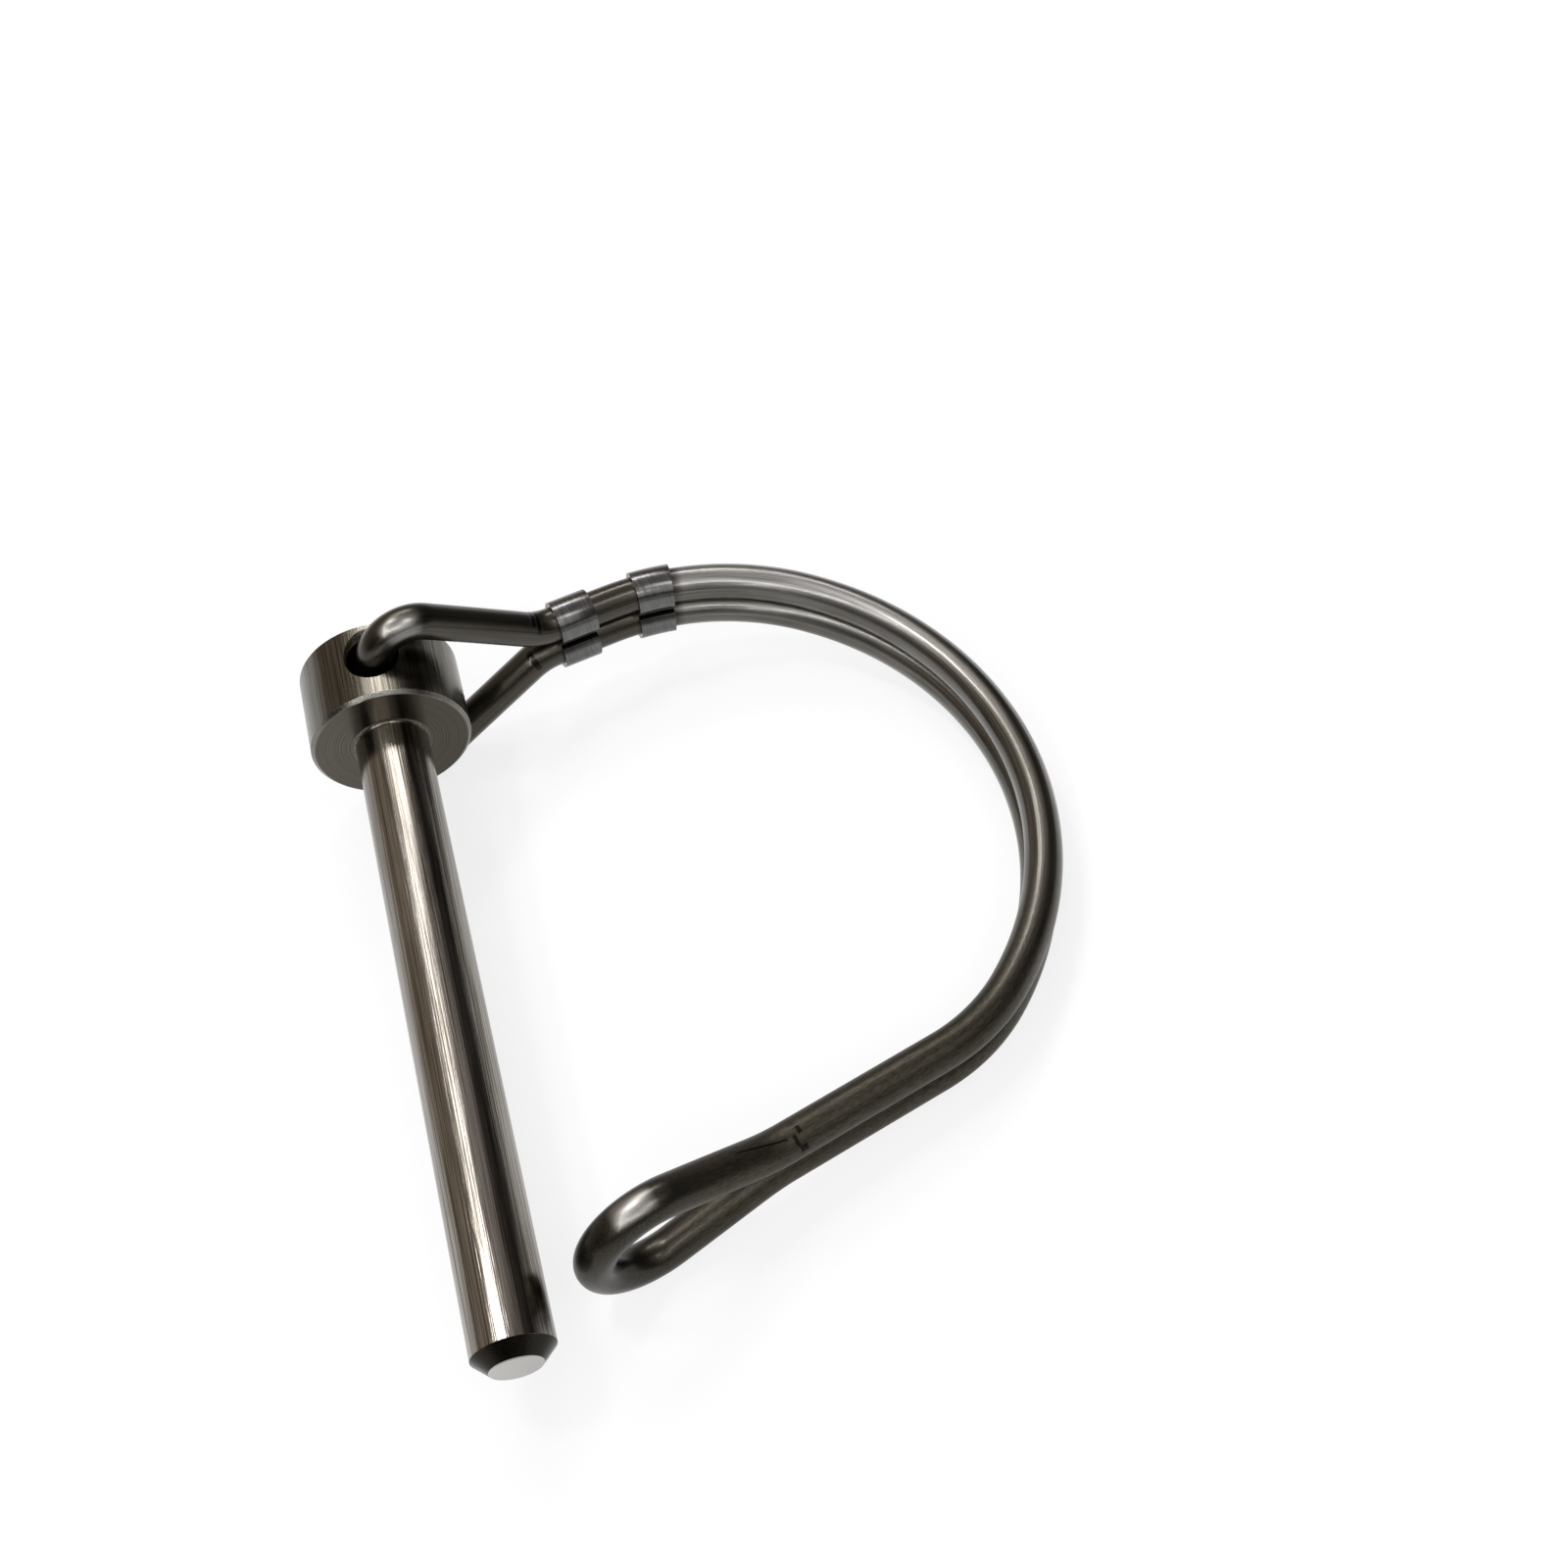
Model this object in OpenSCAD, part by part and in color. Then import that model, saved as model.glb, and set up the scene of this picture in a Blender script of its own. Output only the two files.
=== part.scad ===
// Lynch pin with a round wire arch: a turned pin whose head carries a swinging bail of doubled wire.
// The pin is drawn along -Y with its shoulder at y = 0, the bail in the XY plane, and the whole part
// is then laid on the floor plane through the three points that it rests on.

/* [Pin] */
// Diameter of the shank
shank_d = 8; // [6:0.5:10]
// Length of the shank, from the shoulder to the tip
shank_l = 72; // [66:1:90]
// Width and depth of the bevel at the tip
tip_bevel = 1.5; // [0.5:0.1:2.5]
// Diameter of the head
head_d = 17.6; // [15:0.2:20]
// Length of the head
head_l = 10.4; // [9.6:0.2:14]
// Bevel of the head's two rims
head_bevel = 0.4; // [0.3:0.1:0.8]
// Radius of the fillet between shank and shoulder
shoulder_fillet = 0.4; // [0.2:0.1:0.8]

/* [Hinge] */
// Distance of the cross hole behind the shoulder
hinge_back = 6; // [5.4:0.1:6.4]
// Diameter of the cross hole
hole_d = 5.4; // [5.3:0.1:6]
// Bevel of the cross hole's mouths
hole_bevel = 0.8; // [0.6:0.1:1]
// Depth to which each wire end reaches into the head
peg_l = 5; // [4:0.1:5.2]
// Angle at which each wire end leans in the hole, towards the arch
peg_lean = 12; // [6:1:12]

/* [Wire] */
// Diameter of the wire
wire_d = 4; // [3:0.1:4.4]
// Gap between the two strands where they run side by side
strand_gap = 0.2; // [0.1:0.05:0.6]

/* [Eye] */
// Bend radius of the wire's centreline over the head
eye_r = 4; // [3.4:0.1:4.4]
// Distance before the head's crown at which that bend starts
eye_sink = 0.8; // [0.4:0.1:0.8]
// Slope of the two legs from the head to the first band
eye_slope = 34; // [33:0.5:40]
// Bend radius where the legs come together
neck_r = 6; // [4:0.5:8]

/* [Arch] */
// Angle by which the bail leans back from square to the pin
leg_lean = 12.2; // [8:0.2:16]
// Length of the straight leg, from the hinge to the arch
leg_l = 27.8; // [27:0.2:34]
// Bend radius at the start of the arch
crown_r = 29; // [24:0.5:34]
// Turn of the wire at the start of the arch
crown_turn = 45.9; // [42:0.1:50]
// Bend radius of the arch's bow
bow_r = 36.1; // [33:0.1:38]
// Turn of the wire round the bow
bow_turn = 101.7; // [98:0.1:104]
// Bend radius of the corner that ends the arch
corner_r = 21.7; // [16:0.1:26]
// Turn of the wire at that corner
corner_turn = 27.9; // [25:0.1:30]
// Length of the straight stretch that closes towards the pin
close_l = 17.6; // [14:0.2:18.8]

/* [Loop] */
// Room between the loop and the shank, on each side
loop_clearance = 0.1; // [0.05:0.05:0.5]
// Bend radius where the strands part
part_r = 12; // [8:0.5:16]
// Angle at which each strand leaves the other
part_angle = 18.5; // [15:0.5:24]

/* [Bands] */
// Length of each crimped band along the wire
band_l = 4.5; // [3:0.1:5]
// Sheet thickness of the bands
band_t = 0.5; // [0.3:0.05:0.8]
// Opening of the seam where a band's two ends turn in between the strands
band_seam = 1; // [0.6:0.1:1.6]
// Distance from the hinge to the inner band
inner_band_at = 21; // [20:0.2:22]
// Distance from the start of the arch to the outer band
outer_band_at = 3.1; // [0.5:0.1:5]

/* [Hidden] */
$fn = 96;

steel = [0.62, 0.61, 0.58];
bright_wire = [0.55, 0.54, 0.50];
band_sheet = [0.70, 0.69, 0.67];

up = [0, 0, 1];
hinge = [0, hinge_back, 0];
wire_r = wire_d / 2;
head_r = head_d / 2;
hole_r = hole_d / 2;
// Length by which a cutting shape runs past what it cuts
cut_over = 1;
// The wire is this much thinner in its bends, and each straight runs a short lap into them
bend_thinning = 0.01;
bend_wire_r = wire_r - bend_thinning;
lap = 0.05;
// Room between the crimped bands and the wire
band_room = 0.02;

// Height of the strands' centrelines over the bail's middle plane, and radius of the loop's round end
strand_z = wire_r + strand_gap / 2;
loop_r = shank_d / 2 + loop_clearance + wire_r;

// Each wire end crosses the hinge axis halfway down; place of the bend that follows, from the hinge
peg_middle = peg_l / 2;
eye_start = (peg_middle - eye_sink) * sin(peg_lean);
eye_z = head_r - peg_middle + (peg_middle - eye_sink) * cos(peg_lean);
eye_centre = eye_start + eye_r * cos(peg_lean);
eye_centre_z = eye_z - eye_r * sin(peg_lean);

// Straight stretches that follow from those heights and the bends between them
eye_drop = eye_centre_z + eye_r * cos(eye_slope) - neck_r * (1 - cos(eye_slope)) - strand_z;
eye_leg = eye_drop / sin(eye_slope);
eye_reach = eye_centre + (eye_r + neck_r) * sin(eye_slope) + eye_leg * cos(eye_slope);
part_rise = loop_r - strand_z - (part_r + loop_r) * (1 - cos(part_angle));
part_leg = part_rise / sin(part_angle);
part_reach = (part_r + loop_r) * sin(part_angle) + part_leg * cos(part_angle);

// Bend table of the upper strand, from its end in the head to the loop's round end:
// straight length, roll about the wire, bend radius, bend angle
strand_bends = [
    [peg_l - eye_sink, 0, eye_r, 90 - peg_lean + eye_slope],
    [eye_leg, 180, neck_r, eye_slope],
    [leg_l - eye_reach, 90, crown_r, crown_turn],
    [0, 0, bow_r, bow_turn],
    [0, 0, corner_r, corner_turn],
    [close_l, -90, part_r, part_angle],
    [part_leg, 0, 0, 0],
];

// Direction of a heading in the bail's plane, and the side that the arch turns to
function along(a) = [cos(a), sin(a), 0];
function inward(a) = [sin(a), -cos(a), 0];

// Centres of the arch's bends and the headings between them
arch_start = hinge + leg_l * along(leg_lean);
crown_centre = arch_start + crown_r * inward(leg_lean);
bow_heading = leg_lean - crown_turn;
bow_centre = crown_centre + (bow_r - crown_r) * inward(bow_heading);
corner_heading = bow_heading - bow_turn;
corner_centre = bow_centre + (corner_r - bow_r) * inward(corner_heading);
close_heading = corner_heading - corner_turn;
arch_end = corner_centre - corner_r * inward(close_heading);
loop_centre = arch_end + (close_l + part_reach) * along(close_heading);
loop_start = loop_centre + loop_r * (cos(part_angle) * up - sin(part_angle) * along(close_heading));

// Lowest points, seen along the floor's normal n, of the eye, the loop and the bow
function arc_low(centre, r, dir, n) =
    let (a = n * dir, s = norm([a, n.z])) centre - r / s * (a * dir + n.z * up) - wire_r * n;
function eye_low(n) =
    arc_low(hinge + eye_centre * along(leg_lean) - eye_centre_z * up, eye_r, along(leg_lean), n);
function loop_low(n) = arc_low(loop_centre, loop_r, along(close_heading), n);
function bow_low(n) =
    let (flat = [n.x, n.y, 0]) bow_centre - bow_r / norm(flat) * flat - strand_z * up - wire_r * n;

// Normal of the plane through those three points, found by settling from a first guess
function unit(v) = v / norm(v);
function settle(n, rounds) =
    rounds < 1 ? n
    : let (e = eye_low(n), l = loop_low(n), b = bow_low(n), m = unit(cross(b - e, l - e)))
      settle(m.z > 0 ? m : -m, rounds - 1);
first_guess = unit([-0.1, 0.05, 1]);
settle_rounds = 12;
floor_z = settle(first_guess, settle_rounds);
floor_x = unit(cross([0, 1, 0], floor_z));
floor_y = cross(floor_z, floor_x);

// Turns the part so that the floor is level; the shoulder's centre stays at the origin
module at_rest() {
    multmatrix([
        [floor_x.x, floor_x.y, floor_x.z, 0],
        [floor_y.x, floor_y.y, floor_y.z, 0],
        [floor_z.x, floor_z.y, floor_z.z, 0],
        [0, 0, 0, 1],
    ]) children();
}

// Cylinder along +Z with a bevel at one end or both
module bevelled(d, h, low, high) {
    rotate_extrude()
        polygon([[0, 0], [d / 2 - low, 0], [d / 2, low], [d / 2, h - high], [d / 2 - high, h], [0, h]]);
}

// Concave fillet round the foot of the shank
module fillet_ring() {
    rotate_extrude()
        difference() {
            square([shank_d / 2 + shoulder_fillet, shoulder_fillet]);
            translate([shank_d / 2 + shoulder_fillet, shoulder_fillet]) circle(shoulder_fillet);
        }
}

// Through hole across the head, with bevelled mouths
module cross_hole() {
    translate([0, 0, -head_r - cut_over]) cylinder(r = hole_r, h = head_d + 2 * cut_over);
    for (side = [0, 1])
        mirror([0, 0, side])
            translate([0, 0, head_r - hole_bevel])
                cylinder(r1 = hole_r, r2 = hole_r + 2 * hole_bevel, h = 2 * hole_bevel);
}

// Turned pin: head, shoulder, shank and bevelled tip in one piece
module pin() {
    color(steel)
        at_rest()
            difference() {
                rotate([90, 0, 0]) {
                    translate([0, 0, -head_l]) bevelled(head_d, head_l, head_bevel, head_bevel);
                    bevelled(shank_d, shank_l, 0, tip_bevel);
                    fillet_ring();
                }
                translate(hinge) cross_hole();
            }
}

// Round bend from the top of a straight towards +X
module wire_bend(r, angle) {
    translate([r, 0, 0])
        rotate([90, 0, 0])
            rotate([0, 0, 180])
                rotate_extrude(angle = -angle) translate([r, 0]) circle(r = bend_wire_r);
}

// Wire along +Z that follows a bend table, each bend towards its own +X
module bent_wire(bends, i = 0) {
    if (i < len(bends)) {
        feed = bends[i][0];
        r = bends[i][2];
        angle = bends[i][3];
        translate([0, 0, -lap]) cylinder(r = wire_r, h = feed + 2 * lap);
        if (angle > 0)
            translate([0, 0, feed])
                rotate([0, 0, bends[i][1]]) {
                    wire_bend(r, angle);
                    translate([r * (1 - cos(angle)), 0, r * sin(angle)])
                        rotate([0, angle, 0])
                            bent_wire(bends, i + 1);
                }
    }
}

// One wire: both ends hook into the head, the strands run side by side and join in the loop
module wire_bail() {
    color(bright_wire)
        at_rest() {
            for (side = [0, 1])
                mirror([0, 0, side])
                    translate(hinge + (head_r - peg_middle) * up)
                        rotate([0, peg_lean, leg_lean])
                            translate([0, 0, -peg_middle])
                                bent_wire(strand_bends);
            translate(loop_start)
                rotate([0, 90 - part_angle, close_heading])
                    wire_bend(loop_r, 180 + 2 * part_angle);
        }
}

// Section of a band: a strip with a flat back, wrapped round both strands, its ends turned in between them.
// Positive x is the side of the seam.
module band_section() {
    difference() {
        wrap(wire_r + band_room + band_t);
        wrap(wire_r + band_room);
        translate([0, -band_seam / 2]) square([wire_d, band_seam]);
    }
}

// Two round lobes about the strands, joined by a flat back
module wrap(r) {
    for (side = [-1, 1])
        translate([0, side * strand_z]) circle(r);
    translate([-r, -strand_z]) square([r, 2 * strand_z]);
}

// Crimped band on the straight leg, next to the eye
module inner_band() {
    color(band_sheet)
        at_rest()
            translate(hinge)
                rotate([0, 0, leg_lean])
                    translate([inner_band_at + band_l, 0, 0])
                        rotate([90, 0, -90])
                            linear_extrude(band_l) band_section();
}

// Crimped band at the foot of the arch, bent with the wire
module outer_band() {
    degrees_per_mm = 180 / (PI * crown_r);
    color(band_sheet)
        at_rest()
            translate(crown_centre)
                rotate([0, 0, 90 + leg_lean - (outer_band_at + band_l) * degrees_per_mm])
                    rotate_extrude(angle = band_l * degrees_per_mm)
                        translate([crown_r, 0]) mirror([1, 0]) band_section();
}

pin();
wire_bail();
inner_band();
outer_band();
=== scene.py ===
"""Looks of a round-arch lynch pin: polished turned pin, bail of doubled spring wire, two crimped bands."""
import math

import bmesh
import bpy
from mathutils import Matrix, Vector


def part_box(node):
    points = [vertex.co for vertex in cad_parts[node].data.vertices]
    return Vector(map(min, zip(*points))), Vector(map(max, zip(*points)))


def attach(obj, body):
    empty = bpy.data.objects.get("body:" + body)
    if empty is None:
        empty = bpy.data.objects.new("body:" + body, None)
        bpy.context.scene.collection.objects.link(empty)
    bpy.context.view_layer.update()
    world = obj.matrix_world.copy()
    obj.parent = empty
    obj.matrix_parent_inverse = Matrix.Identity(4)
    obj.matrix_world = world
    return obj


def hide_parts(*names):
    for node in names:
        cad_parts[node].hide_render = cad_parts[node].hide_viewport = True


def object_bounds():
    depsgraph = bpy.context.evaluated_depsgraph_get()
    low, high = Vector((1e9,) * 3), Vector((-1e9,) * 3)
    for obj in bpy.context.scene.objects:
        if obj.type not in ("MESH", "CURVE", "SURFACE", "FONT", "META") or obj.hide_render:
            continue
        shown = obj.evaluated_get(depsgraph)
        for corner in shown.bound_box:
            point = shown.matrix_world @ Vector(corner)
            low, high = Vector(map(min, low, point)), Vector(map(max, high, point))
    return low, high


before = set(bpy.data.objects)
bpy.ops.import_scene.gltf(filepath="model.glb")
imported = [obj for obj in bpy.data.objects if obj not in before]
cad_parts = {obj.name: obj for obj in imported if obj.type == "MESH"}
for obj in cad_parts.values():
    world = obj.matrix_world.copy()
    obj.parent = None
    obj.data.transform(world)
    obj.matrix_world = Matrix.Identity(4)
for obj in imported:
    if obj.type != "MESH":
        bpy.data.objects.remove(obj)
cad_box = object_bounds()
scene = bpy.context.scene
scene.view_settings.view_transform = "Standard"
MM = 0.001


# Shader maths
class Val:
    """A shader socket that takes part in plain arithmetic."""

    def __init__(self, paint, socket):
        self.paint = paint
        self.socket = socket

    def _math(self, operation, a, b):
        return self.paint.add("ShaderNodeMath", {"operation": operation}, {0: a, 1: b})

    def __add__(self, other):
        return self._math("ADD", self, other)

    def __radd__(self, other):
        return self._math("ADD", other, self)

    def __sub__(self, other):
        return self._math("SUBTRACT", self, other)

    def __rsub__(self, other):
        return self._math("SUBTRACT", other, self)

    def __mul__(self, other):
        return self._math("MULTIPLY", self, other)

    def __rmul__(self, other):
        return self._math("MULTIPLY", other, self)

    def __truediv__(self, other):
        return self._math("DIVIDE", self, other)

    def __pow__(self, other):
        return self._math("POWER", self, other)


class Paint:
    """One node tree and the nodes that make it up."""

    def __init__(self, tree):
        self.tree = tree

    def add(self, kind, settings=None, inputs=None, output=0):
        node = self.tree.nodes.new(kind)
        for key, value in (settings or {}).items():
            setattr(node, key, value)
        for key, value in (inputs or {}).items():
            self.feed(node.inputs[key], value)
        return Val(self, node.outputs[output])

    def feed(self, socket, value):
        if isinstance(value, Val):
            self.tree.links.new(value.socket, socket)
        else:
            socket.default_value = value

    def split(self, vector):
        node = self.add("ShaderNodeSeparateXYZ", {}, {0: vector}).socket.node
        return [Val(self, out) for out in node.outputs]

    def rays(self):
        """Camera rays and rays through clear things as one value, and mirror rays as another."""
        out = self.add("ShaderNodeLightPath").socket.node.outputs
        straight = Val(self, out["Is Camera Ray"]) + Val(self, out["Is Transmission Ray"])
        return straight, Val(self, out["Is Glossy Ray"])

    def ramp(self, value, low, high, start=0.0, end=1.0):
        """Smooth step from start to end as value goes from low to high."""
        return self.add("ShaderNodeMapRange", {"interpolation_type": "SMOOTHSTEP"}, {
            "Value": value, "From Min": low, "From Max": high, "To Min": start, "To Max": end})

    def noise(self, place, scale, detail=2.0, roughness=0.6):
        spread = self.add("ShaderNodeMapping", {}, {"Vector": place, "Scale": scale})
        return self.add("ShaderNodeTexNoise", {}, {
            "Vector": spread, "Scale": 1.0, "Detail": detail, "Roughness": roughness})

    def blend(self, factor, a, b):
        return self.add("ShaderNodeMix", {"data_type": "RGBA"}, {"Factor": factor, 6: a, 7: b}, 2)

    def metal(self, colour, rough, height, depth):
        """Shader inputs of bare metal; depth is what a height of 1 stands for, in metres."""
        normal = self.add("ShaderNodeBump", {}, {"Strength": 1.0, "Distance": depth, "Height": height})
        return {"Base Color": colour, "Metallic": 1.0, "Roughness": rough, "Normal": normal}


def new_material(name, inputs_of):
    material = bpy.data.materials.new(name)
    material.use_nodes = True
    paint = Paint(material.node_tree)
    shader = material.node_tree.nodes["Principled BSDF"]
    for key, value in inputs_of(paint).items():
        paint.feed(shader.inputs[key], value)
    return material


def dress(node, material):
    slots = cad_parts[node].data.materials
    slots.clear()
    slots.append(material)


def new_object(name, data):
    obj = bpy.data.objects.new(name, data)
    scene.collection.objects.link(obj)
    return obj


# Turned pin; lengths in mm, the tilt in degrees below level
SHANK_L, SHANK_R, TIP_BEVEL = 72.0, 4.0, 1.5
HEAD_L, HEAD_R = 10.4, 8.8
PIN_TILT = 3.135
SHANK_TONES = ((0.085, 0.070, 0.050, 1), (0.37, 0.35, 0.32, 1))
HEAD_TONES = ((0.045, 0.039, 0.027, 1), (0.15, 0.141, 0.121, 1))
PIN_STAIN = (0.12, 0.103, 0.078, 1)
BLACK_BEVEL = (0.022, 0.020, 0.016, 1)
BRIGHT_END = (0.50, 0.49, 0.47, 1)
WORN_RIM = (0.34, 0.33, 0.31, 1)
# Range of the streaks that goes from the darker to the lighter of two tones
TONE_RANGE = (0.36, 0.64)
DRAWN_DEPTH = 0.000035


def pin_steel(paint):
    """Dark bright-drawn bar: lines along it, a shank rubbed down to bright steel, turning rings on the faces,
    worn rims.
    """
    place = paint.add("ShaderNodeTexCoord", {}, {}, "Object")
    place = paint.add("ShaderNodeMapping", {}, {
        "Vector": place, "Rotation": (math.radians(-90 - PIN_TILT), 0, 0), "Scale": (1 / MM, 1 / MM, 1 / MM)})
    x, y, t = paint.split(place)
    r = (x * x + y * y) ** 0.5
    fine = paint.noise(place, (9.0, 9.0, 0.06), 2.0)
    lines = paint.noise(place, (3.2, 3.2, 0.03), 3.0, 0.65)
    cloud = paint.noise(place, (0.3, 0.3, 0.12), 3.0)
    grain = paint.noise(place, (12.0, 12.0, 8.0), 2.0)
    rings = paint.add("ShaderNodeTexNoise", {"noise_dimensions": "1D"}, {
        "W": r * 12.0, "Scale": 1.0, "Detail": 1.0})
    shoulder = paint.ramp(t, -0.06, -0.03) * paint.ramp(t, 0.03, 0.06, 1.0, 0.0)
    shoulder = shoulder * paint.ramp(r, SHANK_R + 0.3, SHANK_R + 0.5)
    end = paint.ramp(t, SHANK_L - 0.1, SHANK_L - 0.04)
    face = shoulder + end + paint.ramp(t, 0.1 - HEAD_L, 0.04 - HEAD_L)
    head = paint.ramp(t, 0.42, 0.05)
    bevel = paint.ramp(t, SHANK_L - TIP_BEVEL - 0.05, SHANK_L - TIP_BEVEL + 0.05)
    rim = paint.ramp(t, -0.5, -0.36) + paint.ramp(t, 0.5 - HEAD_L, 0.36 - HEAD_L)
    rim = rim * paint.ramp(r, HEAD_R - 0.5, HEAD_R - 0.38) * paint.ramp(t, 0.2, 0.1)
    rim = rim * paint.ramp(grain, 0.35, 0.6, 0.35, 1.0)
    streak = (fine * 0.5 + lines * 0.5) * (1 - face) + (rings * 0.4 + 0.3) * face
    tone = paint.ramp(streak, *TONE_RANGE)
    colour = paint.blend(head, paint.blend(tone, *SHANK_TONES), paint.blend(tone, *HEAD_TONES))
    colour = paint.blend(paint.ramp(cloud, 0.48, 0.75, 0.0, 0.3), colour, PIN_STAIN)
    colour = paint.blend(bevel, colour, BLACK_BEVEL)
    colour = paint.blend(end, colour, BRIGHT_END)
    colour = paint.blend(rim * 0.5, colour, WORN_RIM)
    rough = 0.11 + streak * 0.12 + (head + bevel) * 0.03 + end * 0.12
    rough = rough + paint.ramp(cloud, 0.4, 0.75, 0.0, 0.05)
    height = streak * (1 - face * 0.9) + grain * (1 - face) * 0.02
    return paint.metal(colour, rough, height, DRAWN_DEPTH)


dress("pin", new_material("turned_pin", pin_steel))


# Doubled spring wire, swept along the same bends as the solid; mm and degrees
HINGE_BACK, LEG_LEAN, PEG_LEAN = 6.0, 12.2, 12.0
WIRE_R, STRAND_Z = 2.0, 2.1
PEG_L, EYE_SINK, EYE_R, EYE_SLOPE, NECK_R = 5.0, 0.8, 4.0, 34.0, 6.0
LEG_L, CLOSE_L, PART_R, PART_ANGLE, LOOP_R = 27.8, 17.6, 12.0, 18.5, 6.1
# Bend radius and angle of the crown, the bow and the corner
ARCH = [(29.0, 45.9), (36.1, 101.7), (21.7, 27.9)]
# Turn from the bail's own plane to the way the part lies on the floor
ON_FLOOR = Matrix((
    (0.993576, 0.0, 0.113169, 0.0),
    (0.00618818, 0.998504, -0.0543294, 0.0),
    (-0.113, 0.0546807, 0.992089, 0.0),
    (0.0, 0.0, 0.0, 1.0),
))
# Fineness of the sweep: points round the wire, steps along a straight, degrees of bend in each step
RING_POINTS, FEED_STEPS = 48, 4
TIGHT_R, TIGHT_STEP, WIDE_STEP = 10.0, 3.0, 1.5


def sin(a):
    return math.sin(math.radians(a))


def cos(a):
    return math.cos(math.radians(a))


def turned(angle, axis):
    return Matrix.Rotation(math.radians(angle), 4, axis)


def bend_table():
    """Straight length, roll about the wire, bend radius and bend angle, from end to end of the wire."""
    peg_middle = PEG_L / 2
    eye_z = HEAD_R - peg_middle + (peg_middle - EYE_SINK) * cos(PEG_LEAN) - EYE_R * sin(PEG_LEAN)
    eye_x = (peg_middle - EYE_SINK) * sin(PEG_LEAN) + EYE_R * cos(PEG_LEAN)
    drop = eye_z + EYE_R * cos(EYE_SLOPE) - NECK_R * (1 - cos(EYE_SLOPE)) - STRAND_Z
    eye_leg = drop / sin(EYE_SLOPE)
    leg = LEG_L - eye_x - (EYE_R + NECK_R) * sin(EYE_SLOPE) - eye_leg * cos(EYE_SLOPE)
    part_leg = (LOOP_R - STRAND_Z - (PART_R + LOOP_R) * (1 - cos(PART_ANGLE))) / sin(PART_ANGLE)
    eye_bend = (EYE_R, 90 - PEG_LEAN + EYE_SLOPE)
    crown, bow, corner = ARCH
    return [
        (PEG_L - EYE_SINK, 0, *eye_bend),
        (eye_leg, 180, NECK_R, EYE_SLOPE),
        (leg, 90, *crown),
        (0, 0, *bow),
        (0, 0, *corner),
        (CLOSE_L, -90, PART_R, PART_ANGLE),
        (part_leg, 180, LOOP_R, 180 + 2 * PART_ANGLE),
        (part_leg, 180, PART_R, PART_ANGLE),
        (CLOSE_L, 90, *corner),
        (0, 0, *bow),
        (0, 0, *crown),
        (leg, -90, NECK_R, EYE_SLOPE),
        (eye_leg, 180, *eye_bend),
        (PEG_L - EYE_SINK, 0, 0, 0),
    ]


def bent_wire():
    """One round wire; each point keeps its place round the wire and along it, in mm, as the attribute lay."""
    bm = bmesh.new()
    lay = bm.verts.layers.float_vector.new("lay")
    peg_middle = PEG_L / 2
    here = (Matrix.Translation((0, HINGE_BACK, HEAD_R - peg_middle)) @ turned(LEG_LEAN, "Z")
            @ turned(PEG_LEAN, "Y") @ Matrix.Translation((0, 0, -peg_middle)))
    ring = bmesh.ops.create_circle(bm, cap_ends=True, radius=WIRE_R, segments=RING_POINTS)["verts"]
    for v in ring:
        v[lay] = v.co
    bmesh.ops.transform(bm, matrix=here, verts=ring)
    edges = list({e for v in ring for e in v.link_edges})
    run = 0.0

    def step(local, length):
        nonlocal here, edges, run
        out = bmesh.ops.extrude_edge_only(bm, edges=edges)["geom"]
        verts = [g for g in out if isinstance(g, bmesh.types.BMVert)]
        fresh = set(verts)
        edges = [g for g in out if isinstance(g, bmesh.types.BMEdge) and fresh.issuperset(g.verts)]
        bmesh.ops.transform(bm, matrix=here @ local @ here.inverted(), verts=verts)
        here = here @ local
        run += length
        for v in verts:
            v[lay] = (v[lay][0], v[lay][1], run)

    for feed, roll, radius, angle in bend_table():
        if feed > 0:
            for _ in range(FEED_STEPS):
                step(Matrix.Translation((0, 0, feed / FEED_STEPS)), feed / FEED_STEPS)
        if angle > 0:
            here = here @ turned(roll, "Z")
            steps = math.ceil(angle / (TIGHT_STEP if radius < TIGHT_R else WIDE_STEP))
            local = (Matrix.Translation((radius, 0, 0)) @ turned(angle / steps, "Y")
                     @ Matrix.Translation((-radius, 0, 0)))
            for _ in range(steps):
                step(local, radius * math.radians(angle / steps))
    bmesh.ops.contextual_create(bm, geom=edges)
    bmesh.ops.transform(bm, matrix=Matrix.Scale(MM, 4) @ ON_FLOOR, verts=bm.verts)
    bmesh.ops.recalc_face_normals(bm, faces=bm.faces)
    for face in bm.faces:
        face.smooth = len(face.verts) == 4
    mesh = bpy.data.meshes.new("spring_wire")
    bm.to_mesh(mesh)
    bm.free()
    return new_object("spring_wire", mesh)


# Middle of the loop along the wire, and distances from it, along the wire, at which each kind of surface
# begins and is complete, in mm
LOOP_MIDDLE = 176.32
LOOP_ZONE, DULL_ZONE = (17.0, 9.0), (74.0, 46.0)
PAINTED_SHEEN_ZONE, LEG_ZONE = (82.0, 118.0), (131.5, 133.0)
# Parts of the wire's own two ways, across and back, that make up the upper side, which gets a painted sheen
SHEEN_ACROSS, SHEEN_BACK = 0.433, 0.25
WIRE_TONES = ((0.065, 0.059, 0.047, 1), (0.14, 0.133, 0.117, 1))
PAINTED_SHEEN_TONES = ((0.16, 0.156, 0.147, 1), (0.32, 0.316, 0.305, 1))
DULL_TONES = ((0.038, 0.034, 0.025, 1), (0.070, 0.063, 0.050, 1))
WIRE_STAIN = (0.075, 0.064, 0.045, 1)
LEG_BROWN = (0.035, 0.030, 0.022, 1)
LOOP_BLACK = (0.02, 0.017, 0.012, 1)
PAINTED_HIGHLIGHT = (0.36, 0.35, 0.33, 1)
MARK_GROOVE_SHADE = (0.008, 0.007, 0.005, 1)
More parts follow.
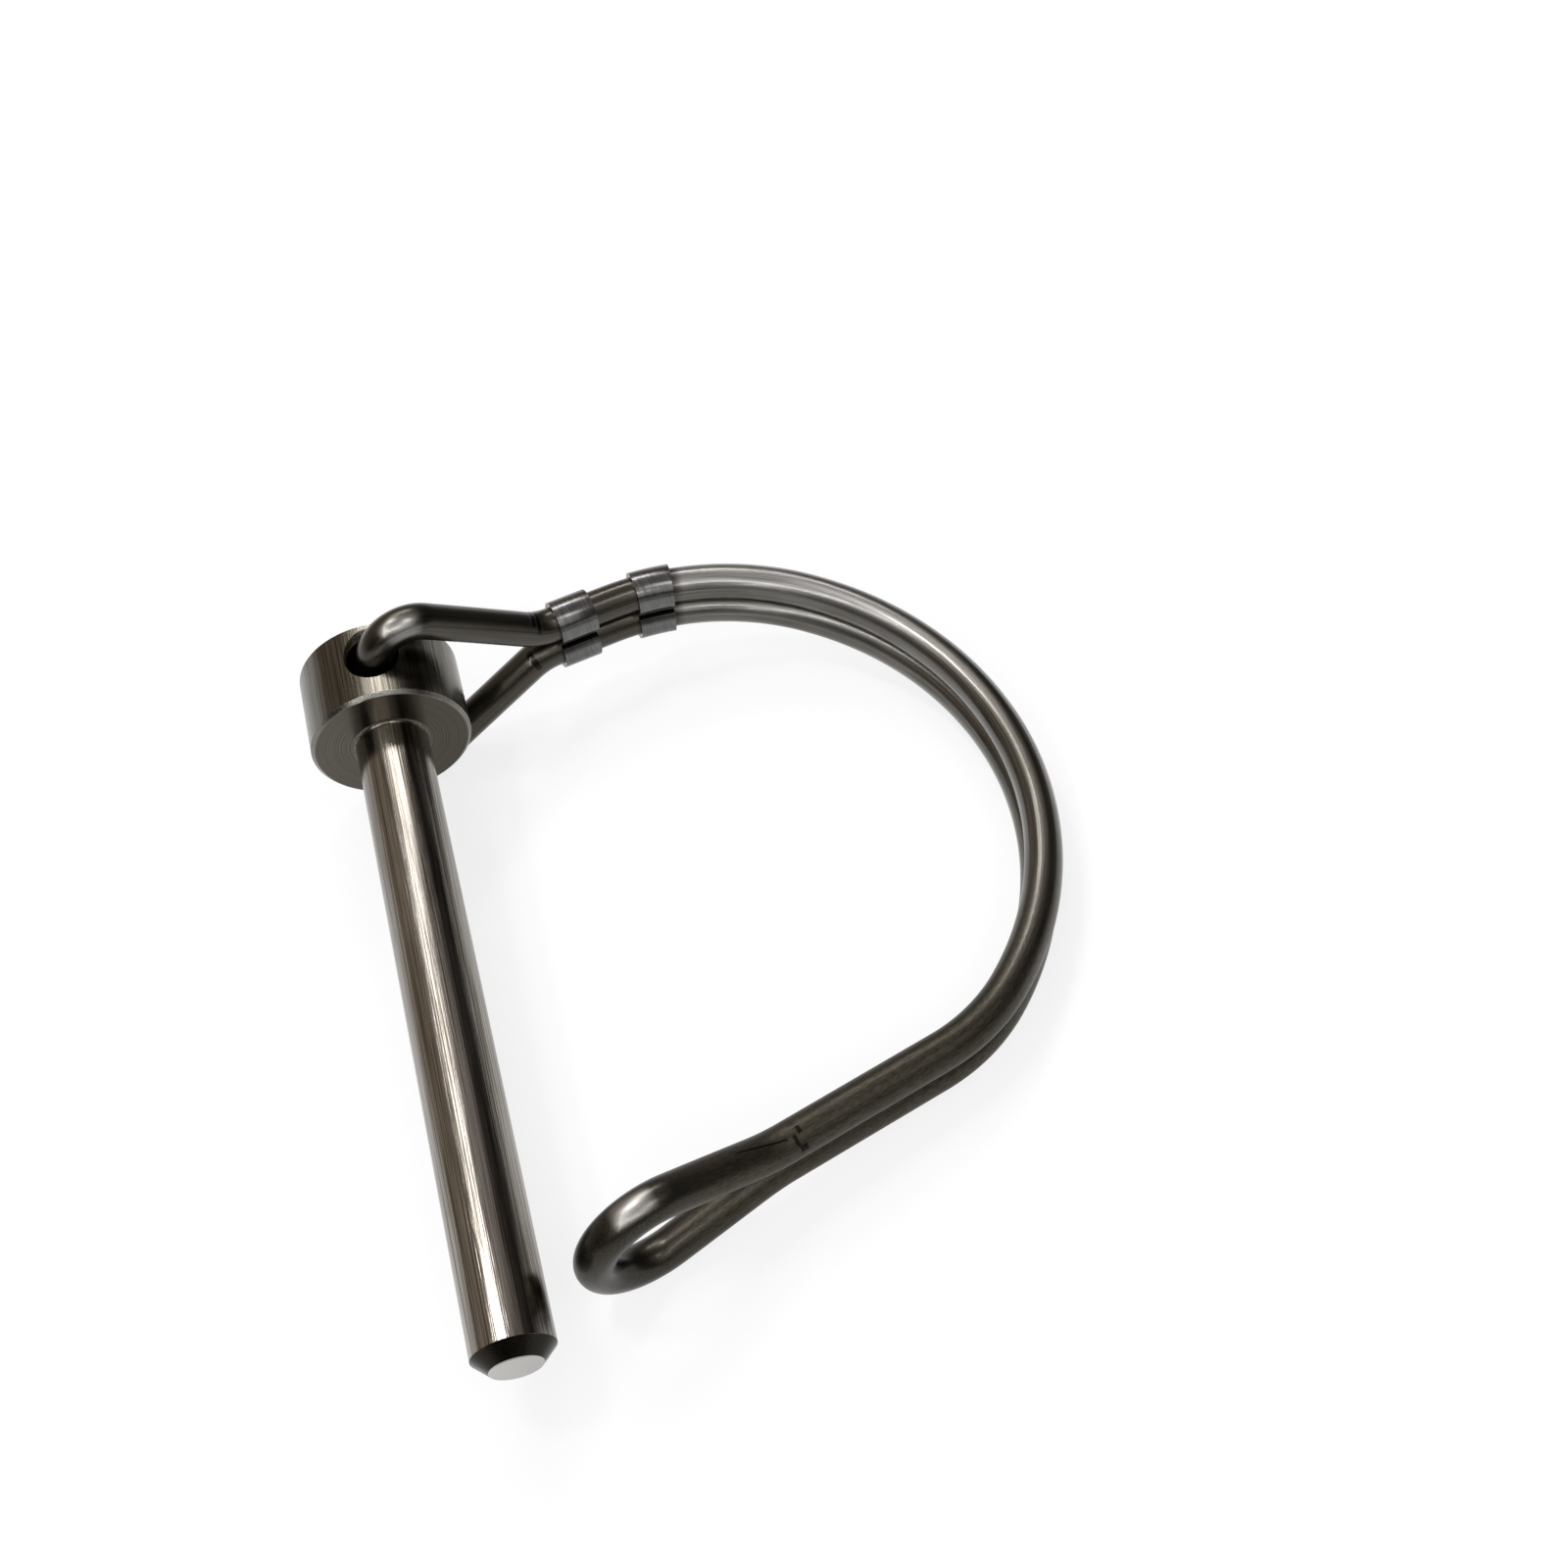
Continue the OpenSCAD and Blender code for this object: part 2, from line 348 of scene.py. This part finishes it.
# Painted highlights on the loop and the eye: place along the wire and round it; half their length
PAINTED_HIGHLIGHT_SPOTS = [(168.1, 180), (9.2, 229)]
SPOT_HALF = 2.0
# Place along the wire and round it, half length along it, and cosine of the half angle round it
TOOL_MARKS = [
    (150.9, 150, 0.22, 0.94),
    (150.2, 174, 0.25, 0.975),
    (150.5, 121, 0.5, 0.975),
    (26.1, 205, 0.4, 0.75),
    (25.1, 185, 0.35, 0.8),
    (326.6, 320, 0.35, 0.75),
]
# One long slanted scratch: place round the wire and along it, slant, and where it starts and fades out
SCRATCH_TURN, SCRATCH_AT, SCRATCH_SLANT = 178, 154.8, 0.149
SCRATCH_START, SCRATCH_FADE = (151.6, 151.8), (158.2, 157.0)


def wire_steel(paint):
    """Dark drawn spring wire: a painted sheen on the crown's upper side, oily on the bow, dull and scratched
    towards the loop.
    """
    place = paint.add("ShaderNodeAttribute", {"attribute_name": "lay"}, {}, "Vector")
    a, b, s = paint.split(place)

    def facing(turn):
        """Cosine of the angle round the wire from the place turn."""
        return (a * cos(turn) + b * sin(turn)) / WIRE_R

    def away(at, half):
        """Squared distance along the wire from at, which is 1 at the distance half."""
        along = (s - at) / half
        return along * along

    from_loop = paint.add("ShaderNodeMath", {"operation": "ABSOLUTE"}, {0: s - LOOP_MIDDLE})
    fine = paint.noise(place, (9.0, 9.0, 0.07), 2.0)
    lines = paint.noise(place, (3.4, 3.4, 0.04), 3.0, 0.65)
    cloud = paint.noise(place, (0.4, 0.4, 0.10), 3.0)
    grain = paint.noise(place, (6.0, 6.0, 4.5), 3.0, 0.7)
    mottle = paint.noise(place, (5.0, 5.0, 1.4), 3.0, 0.65)
    loop = paint.ramp(from_loop, *LOOP_ZONE)
    dull = paint.ramp(from_loop, *DULL_ZONE) * (1 - loop * 0.3)
    legs = paint.ramp(from_loop, *LEG_ZONE)
    upper = paint.ramp(s, LOOP_MIDDLE - 0.32, LOOP_MIDDLE + 0.28, 1.0, 0.0)
    up = a * (SHEEN_ACROSS - upper * (2 * SHEEN_ACROSS)) + b * SHEEN_BACK
    # Painted sheen: the crown is coloured lighter on the side that faces up and back, where the light falls,
    # and less so on the lower strand
    painted_sheen = paint.ramp(from_loop, *PAINTED_SHEEN_ZONE) * (1 - legs) * paint.ramp(up, -0.4, 0.15)
    painted_sheen = painted_sheen * (0.55 + upper * 0.45)
    streak = (fine * 0.5 + lines * 0.5) * (1 - dull * 0.6) + mottle * dull * 0.6
    tone = paint.ramp(streak, *TONE_RANGE) * (1 - loop * 0.75) + loop * 0.5
    colour = paint.blend(tone, *WIRE_TONES)
    colour = paint.blend(paint.ramp(cloud, 0.48, 0.75, 0.0, 0.5), colour, WIRE_STAIN)
    colour = paint.blend(painted_sheen, colour, paint.blend(tone, *PAINTED_SHEEN_TONES))
    colour = paint.blend(dull, colour, paint.blend(tone, *DULL_TONES))
    colour = paint.blend(legs * 0.7, colour, LEG_BROWN)
    colour = paint.blend(loop * paint.ramp(grain, 0.45, 0.62, 0.5, 0.85), colour, LOOP_BLACK)
    # Painted highlights: lighter round spots where the loop's bend and the eye catch the light
    for at, turn in PAINTED_HIGHLIGHT_SPOTS:
        spot = paint.ramp(away(at, SPOT_HALF), 1.0, 0.0) * paint.ramp(facing(turn), 0.7, 0.98)
        colour = paint.blend(spot * 0.8, colour, PAINTED_HIGHLIGHT)
    rough = 0.24 + fine * 0.12 + dull * 0.12 - loop * 0.04 + paint.ramp(cloud, 0.4, 0.75, 0.0, 0.05)
    film = paint.ramp(cloud, 0.35, 0.6, 0.75, 0.35) * (1 - dull) * (1 - legs * 0.5)
    marks = 0.0
    for at, turn, half, wide in TOOL_MARKS:
        inner = wide + (1 - wide) * 0.4
        marks = marks + paint.ramp(away(at, half), 1.0, 0.3) * paint.ramp(facing(turn), wide, inner)
    side = b * cos(SCRATCH_TURN) - a * sin(SCRATCH_TURN) - (s - SCRATCH_AT) * SCRATCH_SLANT
    scratch = paint.ramp(side * side, 0.03, 0.0) * paint.ramp(facing(SCRATCH_TURN), 0.0, 0.5)
    scratch = scratch * paint.ramp(s, *SCRATCH_START) * paint.ramp(s, *SCRATCH_FADE)
    marks = marks + scratch * 0.8
    # Painted shade: the tool marks and the scratch are coloured near black in their grooves
    colour = paint.blend(paint.ramp(marks, 0.1, 0.8, 0.0, 0.85), colour, MARK_GROOVE_SHADE)
    pits = paint.ramp(grain, 0.58, 0.75) * (loop * 0.06 + dull * 0.12)
    height = streak * (0.8 - loop * 0.75) - pits - marks * 0.6
    oil = {"Coat Weight": film, "Coat Roughness": 0.07}
    return {**paint.metal(colour, rough, height, DRAWN_DEPTH), **oil}


wire = bent_wire()
wire.data.materials.append(new_material("drawn_wire", wire_steel))
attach(wire, "bail")
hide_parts("wire_bail")


# Crimped bands
BAND_TONES = ((0.108, 0.107, 0.105, 1), (0.157, 0.156, 0.153, 1))
BAND_STAIN = (0.092, 0.088, 0.083, 1)
BRUSHED_DEPTH = 0.00003


def band_steel(node):
    """Plated sheet, brushed round the strands, each band swelling a little towards its middle."""
    low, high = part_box(node)
    middle = (Vector(low) + Vector(high)) * 0.5

    def inputs(paint):
        place = paint.add("ShaderNodeTexCoord", {}, {}, "Object")
        place = paint.add("ShaderNodeMapping", {"vector_type": "TEXTURE"}, {
            "Vector": place, "Location": middle, "Rotation": (0, 0, math.radians(LEG_LEAN)),
            "Scale": (MM, MM, MM)})
        along = paint.split(place)[0]
        lines = paint.noise(place, (4.0, 0.3, 0.3), 2.0, 0.6)
        cloud = paint.noise(place, (0.6, 0.6, 0.6), 2.0)
        colour = paint.blend(paint.ramp(lines, 0.3, 0.7), *BAND_TONES)
        colour = paint.blend(paint.ramp(cloud, 0.5, 0.8, 0.0, 0.4), colour, BAND_STAIN)
        rough = 0.20 + lines * 0.08
        height = lines * 0.012 - along * along * 0.8
        return paint.metal(colour, rough, height, BRUSHED_DEPTH)

    return inputs


for node in ("inner_band", "outer_band"):
    dress(node, new_material(node + "_sheet", band_steel(node)))


# Studio; the camera is the one that fits the outline, its place in mm
SENSOR_MM, FOCAL_PX, PHOTO_PX = 36.0, 1906.0, 1600.0
CAMERA_AT = (26.639, -139.557, 155.631)
CAMERA_RIGHT = (0.95652, -0.26439, -0.12318)
CAMERA_AHEAD = (0.06513, 0.60526, -0.79336)
CLIP_START = 0.005
# Floor and lamps in metres and watts
FLOOR_HALF = 3.0
FLOOR_WHITE = (0.92, 0.935, 0.955, 1)
WHITE = (1, 1, 1, 1)
ROOM_DARK = (0.035, 0.031, 0.028, 1)
CEILING_GREY = (0.42, 0.385, 0.38, 1)
LEFT_BROWN = (0.38, 0.315, 0.25, 1)
LAMP_AIM = (0.03, -0.03, 0.0)
ACROSS = (1.0, 0.0, 0.0)
# Name, place, size, power, and the way in which the width lies
LAMPS = [
    ("back_strip", (-0.06, 0.585, 1.0), (1.06, 0.08), 3.6, (0.68, 0.73, 0.0)),
    ("back_panel", (0.075, 0.726, 0.9), (0.72, 0.16), 1.8, ACROSS),
    ("left_strip", (-0.52, -0.55, 1.0), (1.51, 0.06), 5.0, (0.132, 0.991, 0.0)),
    ("front_strip", (-0.12, -0.93, 1.0), (0.82, 0.07), 2.3, (0.915, -0.40, 0.0)),
    ("key_softbox", (-0.262, 0.23, 1.081), (0.18, 0.18), 2.8, ACROSS),
    ("right_softbox", (0.45, -0.48, 1.0), (0.24, 0.24), 1.2, ACROSS),
    ("front_softbox", (0.32, -0.95, 0.72), (0.7, 0.7), 1.6, ACROSS),
]


def standing(place, right, up, back):
    """Matrix of a camera or lamp at that place, which looks away from back."""
    return Matrix.Translation(place) @ Matrix((right, up, back)).transposed().to_4x4()


def camera():
    data = bpy.data.cameras.new("camera")
    data.sensor_width = SENSOR_MM
    data.lens = SENSOR_MM * FOCAL_PX / PHOTO_PX
    data.clip_start = CLIP_START
    right = Vector(CAMERA_RIGHT)
    back = -Vector(CAMERA_AHEAD)
    obj = new_object("camera", data)
    obj.matrix_world = standing(Vector(CAMERA_AT) * MM, right, back.cross(right), back)
    scene.camera = obj


def lamp(name, place, size, power, width_way):
    data = bpy.data.lights.new(name, "AREA")
    data.shape = "RECTANGLE"
    data.size, data.size_y = size
    data.energy = power
    back = (Vector(place) - Vector(LAMP_AIM)).normalized()
    height_way = back.cross(Vector(width_way)).normalized()
    new_object(name, data).matrix_world = standing(place, height_way.cross(back), height_way, back)


def floor():
    """White table, seen mostly as plain white, so that its shadow stays faint, and all white far away."""
    low = cad_box[0][2]
    mesh = bpy.data.meshes.new("floor")
    corners = [(-1, -1), (1, -1), (1, 1), (-1, 1)]
    mesh.from_pydata([(x * FLOOR_HALF, y * FLOOR_HALF, low) for x, y in corners], [], [(0, 1, 2, 3)])
    obj = new_object("floor", mesh)
    material = new_material("pale_floor", lambda paint: {"Base Color": FLOOR_WHITE, "Roughness": 0.8})
    nodes = material.node_tree.nodes
    paint = Paint(material.node_tree)
    x, y, _ = paint.split(paint.add("ShaderNodeTexCoord", {}, {}, "Object"))
    plain = paint.ramp((x * x + y * y) ** 0.5, 0.25, 0.9, 0.8, 1.0)
    straight, mirrored = paint.rays()
    glow = paint.add("ShaderNodeEmission", {}, {"Color": WHITE, "Strength": 1.0})
    mixed = paint.add("ShaderNodeMixShader", {}, {
        0: straight * plain + mirrored * 0.5, 1: Val(paint, nodes["Principled BSDF"].outputs[0]), 2: glow})
    paint.feed(nodes["Material Output"].inputs["Surface"], mixed)
    mesh.materials.append(material)


def surroundings():
    """Dim room, brown at the back and left, under a grey ceiling, above a low white wall all round."""
    world = bpy.data.worlds.new("studio")
    world.use_nodes = True
    paint = Paint(world.node_tree)
    x, y, z = paint.split(paint.add("ShaderNodeTexCoord", {}, {}, "Generated"))
    left = paint.ramp(y * 0.8 - x * 0.6, 0.15, 0.85)
    room = paint.blend(paint.ramp(z, 0.60, 0.82), ROOM_DARK, CEILING_GREY)
    room = paint.blend(left, room, LEFT_BROWN)
    straight, mirrored = paint.rays()
    room = paint.blend(straight + mirrored * paint.ramp(z, 0.14, 0.03, 0.0, 0.6), room, WHITE)
    paint.feed(world.node_tree.nodes["Background"].inputs["Color"], room)
    scene.world = world


camera()
floor()
surroundings()
for row in LAMPS:
    lamp(*row)
